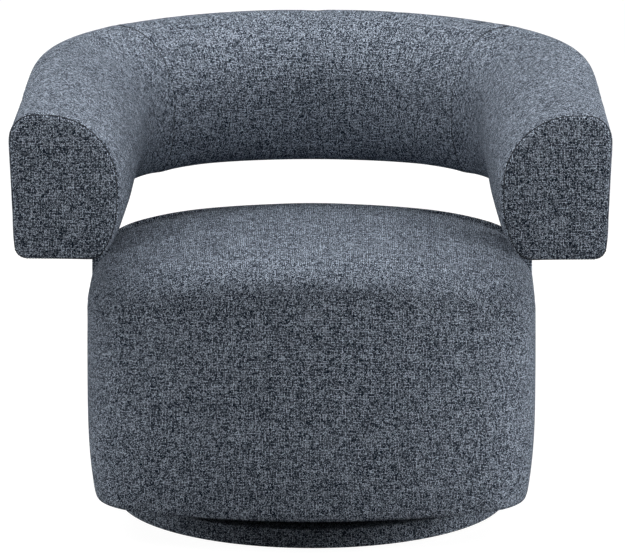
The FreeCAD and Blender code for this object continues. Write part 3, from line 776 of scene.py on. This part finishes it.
def side_rows(along):
    """Rows of the wrap's side, up to the small groove below the shoulder."""
    def side_row(share, sink):
        def row(turn):
            swell_in = puff_start * min(1.0, (1.0 - share) * side_height / puff_reach) + sink
            place = plan_at(turn, swell_in)
            top = crown_at(*plan_at(turn, 0.0)) - shoulder_radius
            return (place[0], place[1], side_bottom + (top - side_bottom) * share)
        return WrapRow(row, along + side_height * share, None, sink > 0.0)

    rows = [side_row(step / side_steps, 0.0) for step in range(1, side_steps)]
    for near in (0.0030, 0.0014):
        sink = roll_in(near, seat_seam_width, seat_seam_depth)
        rows.append(side_row(1.0 - near / side_height, sink))
    return rows


def shoulder_rows(along):
    """Rows from the groove over the shoulder to the top pad, and down behind its edge."""
    over_length = shoulder_radius * math.acos(1.0 - seat_seam_inset / shoulder_radius)

    def over_row(over, held, along=0.0):
        inset, drop = arc_drop(over)
        sink = roll_in(over_length - over, seat_seam_width, seat_seam_depth)

        def row(turn):
            place = plan_at(turn, inset + sink)
            return (place[0], place[1], crown_at(*place) - drop)
        return WrapRow(row, along, over, held)

    def lip(turn):
        place = plan_at(turn, seat_seam_inset)
        return (place[0], place[1], crown_at(*place) - arc_drop(0.0)[1] - 0.0012)

    rows = [over_row(over_length, True, along)]
    for near in (0.0014, 0.0030):
        rows.append(over_row(over_length - near, True))
    steps = 7
    for step in range(1, steps):
        rows.append(over_row((over_length - 0.0030) * (1.0 - step / steps), False))
    rows += [over_row(0.0012, True), over_row(0.0002, True), WrapRow(lip, 0.0, 0.0, True)]
    for z, length in ((0.395, 0.43), (0.25, 0.57)):
        rows.append(WrapRow(flat_row(seat_seam_inset - 0.0003, z), length, None, True))
    return rows


def seat_wrap(name):
    """Side wrap: turned under at the foot, up the side and over the shoulder to the top pad."""
    rows, along = foot_rows()
    rows += side_rows(along)
    rows += shoulder_rows(along + side_height)
    columns = 8 * seat_rings
    points = [row.place(k / columns) for row in rows for k in range(columns)]
    obj = mesh_object(name, points, grid_faces(len(rows), columns, True))
    joint = [plan_at(k / columns, seat_seam_inset) for k in range(columns + 1)]
    outward = [closed_at(plan_normal, k / columns) for k in range(columns + 1)]
    uvs = []
    for row, following in zip(rows, rows[1:] + rows[:1]):
        over_top = row.over is not None and following.over is not None
        for k in range(columns):
            for edge, b in ((row, k), (row, k + 1), (following, k + 1), (following, k)):
                if over_top:
                    uvs.append((joint[b] + outward[b] * edge.over) * shoulder_weave)
                else:
                    uvs.append((b / columns * plan_length, edge.along))
    layer = obj.data.uv_layers.new(name="Cloth")
    layer.data.foreach_set("uv", np.array(uvs).ravel())
    pins = [i * columns + k for i, row in enumerate(rows) if row.held for k in range(columns)]
    return obj, pins


# Sewn seams; their near-black cords also paint the shade of the seam grooves
def seam_tree():
    """Nodes that lay a cord along a path, with evenly spaced stitches over it, in the finish that
    is given.
    """
    tree = bpy.data.node_groups.new("seam_line", "GeometryNodeTree")
    sockets = tree.interface
    sockets.new_socket("Path", in_out="INPUT", socket_type="NodeSocketGeometry")
    for word in ("Thread", "Pitch", "Stitch"):
        sockets.new_socket(word, in_out="INPUT", socket_type="NodeSocketFloat")
    sockets.new_socket("Finish", in_out="INPUT", socket_type="NodeSocketMaterial")
    sockets.new_socket("Seam", in_out="OUTPUT", socket_type="NodeSocketGeometry")
    g = Nodes(tree)
    given = g.node("NodeGroupInput").outputs
    curve = g.node("GeometryNodeMeshToCurve", Mesh=given["Path"]).outputs["Curve"]
    ring = g.node("GeometryNodeCurvePrimitiveCircle", Resolution=6, Radius=given["Thread"])
    cord = g.node("GeometryNodeCurveToMesh", Curve=curve, Profile_Curve=ring.outputs["Curve"])
    places = g.node("GeometryNodeCurveToPoints", {"mode": "LENGTH"}, Curve=curve,
                    Length=given["Pitch"])
    stitch = g.node("GeometryNodeMeshCylinder", Vertices=6, Depth=given["Stitch"],
                    Radius=g.value(given["Thread"]) * 1.5)
    copies = g.node("GeometryNodeInstanceOnPoints", Points=places.outputs["Points"],
                    Rotation=places.outputs["Rotation"], Instance=stitch.outputs["Mesh"])
    join = g.node("GeometryNodeJoinGeometry", Geometry=cord.outputs["Mesh"])
    g.feed(join, "Geometry", copies.outputs["Instances"])
    real = g.node("GeometryNodeRealizeInstances", Geometry=join.outputs[0])
    ended = g.node("GeometryNodeSetMaterial", Geometry=real.outputs[0], Material=given["Finish"])
    g.node("NodeGroupOutput", Seam=ended.outputs[0])
    return tree


def seam(name, points, tree, finish, **sizes):
    """Sewn line along a closed path of points, made a plain mesh."""
    mesh = bpy.data.meshes.new(name)
    count = len(points)
    mesh.from_pydata([tuple(p) for p in points], [(k, (k + 1) % count) for k in range(count)], [])
    obj = link(bpy.data.objects.new(name, mesh))
    change = obj.modifiers.new("Seam", "NODES")
    change.node_group = tree
    for item in tree.interface.items_tree:
        if item.in_out == "INPUT" and item.name in sizes:
            change[item.identifier] = sizes[item.name]
        elif item.name == "Finish":
            change[item.identifier] = finish
    graph = bpy.context.evaluated_depsgraph_get()
    plain_mesh = bpy.data.meshes.new_from_object(obj.evaluated_get(graph))
    obj.modifiers.remove(change)
    obj.data = plain_mesh
    plain_mesh.name = name
    bpy.data.meshes.remove(mesh)
    return obj


def section_ring(distance, inset):
    """Closed path round the bolster's section at a place along it."""
    point, outward = path_at(distance)
    points = []
    for k in range(len(section)):
        flat = section[k] - section_normal[k] * inset
        place = point - outward * flat[0]
        points.append((place[0], place[1], bolster_bottom + flat[1]))
    return points


# Stretched cloth
def plinth_cover(name):
    """Cover of the plinth: over its rim, down the side and turned under."""
    edge = base_cover_edge
    inside = base_radius - 0.0022
    top = base_radius - base_cover_top_width
    under = base_radius - base_cover_bottom_width
    rows = [(top, base_top - cloth_thickness), (top, base_top)]
    for turn in np.linspace(0.0, math.pi / 2.0, 4):
        rows.append((base_radius - edge + edge * math.sin(turn),
                     base_top - edge + edge * math.cos(turn)))
    rows.append((base_radius + 0.0004, (base_top + base_bottom) / 2.0))
    for turn in np.linspace(math.pi / 2.0, math.pi, 4):
        rows.append((base_radius - edge + edge * math.sin(turn),
                     base_bottom + edge + edge * math.cos(turn)))
    rows += [(under, base_bottom), (under, base_bottom + cloth_thickness),
             (inside, base_bottom + cloth_thickness), (inside, base_top - cloth_thickness)]
    columns = 288
    points = []
    uvs = []
    along = 0.0
    for index, (radius, z) in enumerate(rows):
        if index:
            along += math.hypot(radius - rows[index - 1][0], z - rows[index - 1][1])
        for k in range(columns):
            turn = 2.0 * math.pi * k / columns
            points.append((radius * math.cos(turn), radius * math.sin(turn), z))
            uvs.append((base_radius * turn, along))
    obj = mesh_object(name, points, grid_faces(len(rows), columns, True), uvs)
    carry_uv(obj, 0, base_radius * 2.0 * math.pi)
    return obj


def node_copy(name, node):
    """Copy of a CAD node as its own closed mesh, with UVs set square to its faces."""
    mesh = frame["nodes"][node].data.copy()
    mesh.name = name
    work = bmesh.new()
    work.from_mesh(mesh)
    bmesh.ops.remove_doubles(work, verts=work.verts, dist=0.00001)
    layer = work.loops.layers.uv.get("Cloth") or work.loops.layers.uv.new("Cloth")
    for face in work.faces:
        face.smooth = False
        across = abs(face.normal.x) > abs(face.normal.y)
        for loop in face.loops:
            p = loop.vert.co
            loop[layer].uv = (p.y if across else p.x, p.z)
    work.to_mesh(mesh)
    work.free()
    return link(bpy.data.objects.new(name, mesh))


# Finishes
def tweed(name, bias):
    """Plain weave of pale and dark yarns with short slubs; bias turns it on the cloth."""
    s = Shader(name)
    uv = s.node("ShaderNodeUVMap", {"uv_map": "Cloth"})
    split = s.node("ShaderNodeSeparateXYZ", Vector=uv.outputs[0])
    x = s.value(split.outputs[0])
    y = s.value(split.outputs[1])
    turn = math.radians(bias)
    waver = 3.0
    own_tone = 0.1
    slub_tone = 0.30
    slub_rate = 0.14
    crossing_tone = 0.42
    cloud_tone = 0.12
    u = (x * math.cos(turn) + y * math.sin(turn)) / yarn_pitch
    v = (y * math.cos(turn) - x * math.sin(turn)) / yarn_pitch
    u = u + (s.noise(s.vector(u, v, 0.0), 0.03, 1.0) - 0.5) * waver
    v = v + (s.noise(s.vector(v, u, 9.0), 0.03, 1.0) - 0.5) * waver
    i = u.floor()
    j = v.floor()
    fu = u - i - 0.5
    fv = v - j - 0.5
    over = (i + j) % 2.0
    warp_shape = (1.0 - fu * fu * 2.4) * (1.0 - fv * fv * 1.4)
    weft_shape = (1.0 - fv * fv * 2.4) * (1.0 - fu * fu * 1.4)
    height = over.mix(weft_shape, warp_shape)

    def yarn(across, along, seed):
        """Tone of a yarn: its own and short slubs along it."""
        own = s.grains(s.vector(across, seed, 0.0))
        slub = s.grains(s.vector(across, (along * slub_rate + own * 7.0).floor(), seed))
        return own * own_tone + slub * slub_tone

    level = yarn(i, v, 1.0) + yarn(j, u, 7.0) + (i % 2.0 + j % 2.0 + over) * crossing_tone
    level = level + s.grains(s.vector(i, j, 5.0))
    level = level + (s.noise(s.vector(x, y, 0.0), 30.0, 2.0) - 0.5) * cloud_tone
    pale = level.between(1.25, 2.2).math("POWER", 2.2)
    shade = height * 0.8 + 0.2
    colours = []
    for dark, light in ((0.0055, 0.72), (0.012, 0.82), (0.026, 0.965)):
        colours.append(pale.mix(dark, light) * shade)
    colour = s.node("ShaderNodeCombineColor", Red=colours[0], Green=colours[1], Blue=colours[2])
    bump = s.node("ShaderNodeBump", Strength=0.6, Distance=0.0004, Height=height)
    s.set(Base_Color=colour.outputs[0], Roughness=0.92, Normal=bump.outputs[0],
          Specular_IOR_Level=0.12, Sheen_Weight=0.03, Sheen_Roughness=0.5,
          Sheen_Tint=(0.75, 0.85, 1.0, 1.0))
    return s.material


def plain(name, colour, roughness, metallic=0.0, grain=0.0, scale=60.0, stretch=(1.0, 1.0, 1.0)):
    """Even finish with a light variation in tone and gloss."""
    s = Shader(name)
    place = s.node("ShaderNodeTexCoord")
    mapping = s.node("ShaderNodeMapping", Vector=place.outputs["Object"], Scale=stretch)
    change = s.noise(mapping.outputs[0], scale, 3.0, 0.6)
    tint = change.mix(1.0 - grain, 1.0 + grain)
    parts = [tint * part for part in colour]
    mixed = s.node("ShaderNodeCombineColor", Red=parts[0], Green=parts[1], Blue=parts[2])
    s.set(Base_Color=mixed.outputs[0], Roughness=change.mix(roughness - 0.06, roughness + 0.06),
          Metallic=metallic)
    return s.material


def give(obj, material):
    """Makes the material the only one of an object."""
    obj.data.materials.clear()
    obj.data.materials.append(material)


cloth_square = tweed("cloth_square", 0.0)
cloth_bias = tweed("cloth_bias", 45.0)
ply = plain("birch_ply", (0.60, 0.44, 0.27), 0.62, grain=0.22, scale=14.0,
            stretch=(1.0, 1.0, 30.0))
# Near-black stain: partly the boards' own stain, partly painted shade that darkens the shadowed
# gap under the seat
dark_ply_and_gap_shade = plain("dark_ply_and_gap_shade", (0.022, 0.020, 0.019), 0.7, grain=0.2, scale=14.0)
hardwood = plain("hardwood", (0.42, 0.27, 0.15), 0.6, grain=0.25, scale=18.0,
                 stretch=(6.0, 1.0, 6.0))
hardboard = plain("hardboard", (0.26, 0.16, 0.09), 0.7, grain=0.15, scale=90.0)
black_steel = plain("black_steel", (0.03, 0.03, 0.032), 0.42, grain=0.1)
zinc = plain("zinc_steel", (0.62, 0.63, 0.65), 0.32, metallic=1.0, grain=0.08)
nylon = plain("nylon", (0.72, 0.72, 0.68), 0.45, grain=0.03)
glide_black = plain("glide_black", (0.015, 0.015, 0.015), 0.5, grain=0.1)
strap = plain("webbing", (0.05, 0.045, 0.04), 0.85, grain=0.3, scale=400.0)
dust_cloth = plain("dust_cloth", (0.012, 0.012, 0.013), 0.95, grain=0.3, scale=900.0)
felt = plain("felt", (0.10, 0.10, 0.11), 0.97, grain=0.3, scale=700.0)
# Near-black thread: partly the seams' own thread colour, partly painted shade for the seam
# grooves
dark_thread_and_groove_shade = plain("dark_thread_and_groove_shade", (0.010, 0.014, 0.020), 0.8, grain=0.1)

slot_finish = {"plywood": ply, "hardwood": hardwood, "fibreboard": hardboard,
               "steel": black_steel, "bright_steel": zinc, "bearing_plastic": nylon,
               "glide_plastic": glide_black, "webbing": strap, "dust_cloth": dust_cloth,
               "felt": felt}
for part in frame["record"]["subparts"]:
    finish = slot_finish.get(part["material_slot"])
    if finish:
        give(frame["nodes"][part["node"]], finish)
# The plinth's top boards get the near-black stain, which also paints the shade in the gap under
# the seat
for node in ("base_top_board", "spacer_board"):
    give(frame["nodes"][node], dark_ply_and_gap_shade)


# Build the upholstery
def dress(obj, node, material, body):
    """Gives a piece its finish and body, and hides the CAD node that it stands for."""
    give(obj, material)
    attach(obj, body)
    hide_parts(node)


def half_area(obj):
    """Area of one side of a thin closed piece."""
    return sum(face.area for face in obj.data.polygons) / 2.0


def soft(obj, pins, pressure):
    """Swells a cushion, then smooths it once."""
    swell(obj, pins, pressure)
    return faces_out(smooth_copy(obj))


cushion_pressure = 3.0
wrap_pressure = 2.0
hem_share = 1.05
back, back_pins = bolster_piece("back_cushion", -seam_place + joint_gap,
                                seam_place - joint_gap, False)
dress(soft(back, back_pins, cushion_pressure), "back_pad", cloth_square, "chair")
for side, word in ((1.0, "right"), (-1.0, "left")):
    near = seam_place + joint_gap
    far = arm_end - end_pad_depth - joint_gap
    first, last = (near, far) if side > 0 else (-far, -near)
    arm, arm_pins = bolster_piece("arm_cushion_" + word, first, last, True)
    arm = soft(arm, arm_pins, cushion_pressure)
    dress(arm, "arm_pad_" + word, cloth_bias, "chair")
    cap = end_pad("arm_end_" + word, side)
    dress(faces_out(smooth_copy(cap)), "arm_end_pad_" + word, cloth_square, "chair")
    cover = node_copy("riser_sleeve_" + word, "riser_cover_" + word)
    dress(cover, "riser_cover_" + word, cloth_square, "chair")
    half_area(cover)
top, top_pins = seat_top("seat_cushion")
dress(soft(top, top_pins, cushion_pressure), "seat_top_pad", cloth_square, "chair")
wrap, wrap_pins = seat_wrap("seat_wrap")
dress(soft(wrap, wrap_pins, wrap_pressure), "seat_side_wrap", cloth_square, "chair")
plinth = plinth_cover("plinth_cover")
dress(faces_out(plinth), "base_cover", cloth_square, "base")
dust = node_copy("dust_sheet", "seat_dust_cover")
dress(dust, "seat_dust_cover", dust_cloth, "chair")

seam_nodes = seam_tree()
seam_places = []
for side, word in ((1.0, "right"), (-1.0, "left")):
    seam_places.append(("panel_seam_" + word, side * seam_place, 0.0016))
    seam_places.append(("cap_seam_" + word, side * (arm_end - end_pad_depth + 0.0004), 0.0021))
# Each seam's near-black cord lies in its groove and partly paints the groove's shade
for name, distance, inset in seam_places:
    line = seam(name, section_ring(distance, inset), seam_nodes, dark_thread_and_groove_shade,
                Thread=0.0006, Pitch=0.0045, Stitch=0.0032)
    faces_out(line)
    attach(line, "chair")

plinth_round = 2.0 * math.pi * base_radius
plinth_width = half_area(plinth) / plinth_round * hem_share
half_area(plinth)
half_area(dust)


# Floor, light and camera
white = (1.0, 1.0, 1.0, 1.0)


def soft_light(name, place, target, size, power):
    """Rectangular soft light aimed at a point."""
    data = bpy.data.lights.new(name, "AREA")
    data.shape = "RECTANGLE"
    data.size, data.size_y = size
    data.energy = power
    lamp = link(bpy.data.objects.new(name, data))
    lamp.location = place
    aim = Vector(target) - Vector(place)
    lamp.rotation_mode = "QUATERNION"
    lamp.rotation_quaternion = aim.to_track_quat("-Z", "Y")
    return lamp


def floor_plane():
    """Pale floor that the camera sees as white, with the object's shadow kept."""
    half = 40.0
    corners = [(-half, -half, 0.0), (half, -half, 0.0), (half, half, 0.0), (-half, half, 0.0)]
    floor = mesh_object("floor", corners, [(0, 1, 2, 3)], smooth=False)
    s = Shader("floor_white")
    seen = s.value(s.node("ShaderNodeLightPath").outputs["Is Camera Ray"])
    level = seen.mix(0.15, 0.9)
    tint = s.node("ShaderNodeCombineColor", Red=level, Green=level, Blue=level)
    s.set(Base_Color=tint.outputs[0], Roughness=0.9, Specular_IOR_Level=0.0)
    glow = s.node("ShaderNodeEmission", Color=white, Strength=1.13)
    mixed = s.node("ShaderNodeMixShader",
                   numbered=(seen * 0.85, s.surface.outputs[0], glow.outputs[0]))
    s.feed(s.output, "Surface", mixed.outputs[0])
    give(floor, s.material)


floor_plane()
soft_light("key_left", (-2.4, 0.2, 3.2), (0.0, 0.0, 0.4), (2.4, 2.0), 37.0)
soft_light("key_right", (2.4, 0.2, 3.2), (0.0, 0.0, 0.4), (2.4, 2.0), 25.0)
soft_light("top", (0.0, 0.2, 3.8), (0.0, 0.0, 0.4), (3.0, 2.0), 50.0)
soft_light("rear_top", (0.0, 1.6, 3.6), (0.0, 0.0, 0.4), (3.0, 2.0), 14.0)
soft_light("front_high", (0.0, -2.6, 3.4), (0.0, 0.0, 0.4), (3.0, 2.0), 51.0)
soft_light("front_left", (-2.6, -2.2, 3.0), (0.0, 0.0, 0.4), (2.0, 1.6), 21.0)
soft_light("front_right", (2.6, -2.2, 3.0), (0.0, 0.0, 0.4), (2.0, 1.6), 25.0)
soft_light("side_right", (4.0, -0.5, 1.0), (0.0, 0.0, 0.25), (2.0, 1.4), 122.0)
soft_light("side_left", (-4.0, -0.5, 1.0), (0.0, 0.0, 0.25), (2.0, 1.4), 60.0)

world = bpy.data.worlds.new("studio")
bpy.context.scene.world = world
world.use_nodes = True
sky = Nodes(world.node_tree)
ambient = sky.node("ShaderNodeBackground", Color=white, Strength=0.03)
backdrop = sky.node("ShaderNodeBackground", Color=white, Strength=1.0)
camera_ray = sky.node("ShaderNodeLightPath").outputs["Is Camera Ray"]
choose = sky.node("ShaderNodeMixShader",
                  numbered=(camera_ray, ambient.outputs[0], backdrop.outputs[0]))
sky.node("ShaderNodeOutputWorld", Surface=choose.outputs[0])

camera_distance = 12.5
camera_elevation = 14.12
camera_yaw = -0.43
focal_share = 0.6552
aim_height = 0.340
centre_u = 311.8
centre_v = 282.5
camera_data = bpy.data.cameras.new("camera")
camera = link(bpy.data.objects.new("camera", camera_data))
focal_pixels = focal_share * camera_distance * 1000.0
camera_data.sensor_width = 36.0
camera_data.sensor_fit = "HORIZONTAL"
camera_data.lens = focal_pixels * 36.0 / photo_width
camera_data.clip_start = 0.1
camera_data.clip_end = 100.0
elevation = math.radians(camera_elevation)
yaw = math.radians(camera_yaw)
back_way = Vector((-math.sin(yaw) * math.cos(elevation), -math.cos(yaw) * math.cos(elevation),
                   math.sin(elevation)))
target = Vector((0.0, 0.0, aim_height))
camera.location = target + back_way * camera_distance
turn_u = math.atan(((photo_width - 1) / 2.0 - centre_u) / focal_pixels)
turn_v = math.atan(((photo_height - 1) / 2.0 - centre_v) / focal_pixels)
look = (-back_way).to_track_quat("-Z", "Y").to_matrix().to_4x4()
look = look @ Matrix.Rotation(-turn_v, 4, "X") @ Matrix.Rotation(-turn_u, 4, "Y")
camera.rotation_mode = "QUATERNION"
camera.rotation_quaternion = look.to_quaternion()
bpy.context.scene.camera = camera
bpy.context.scene.view_settings.view_transform = "Standard"
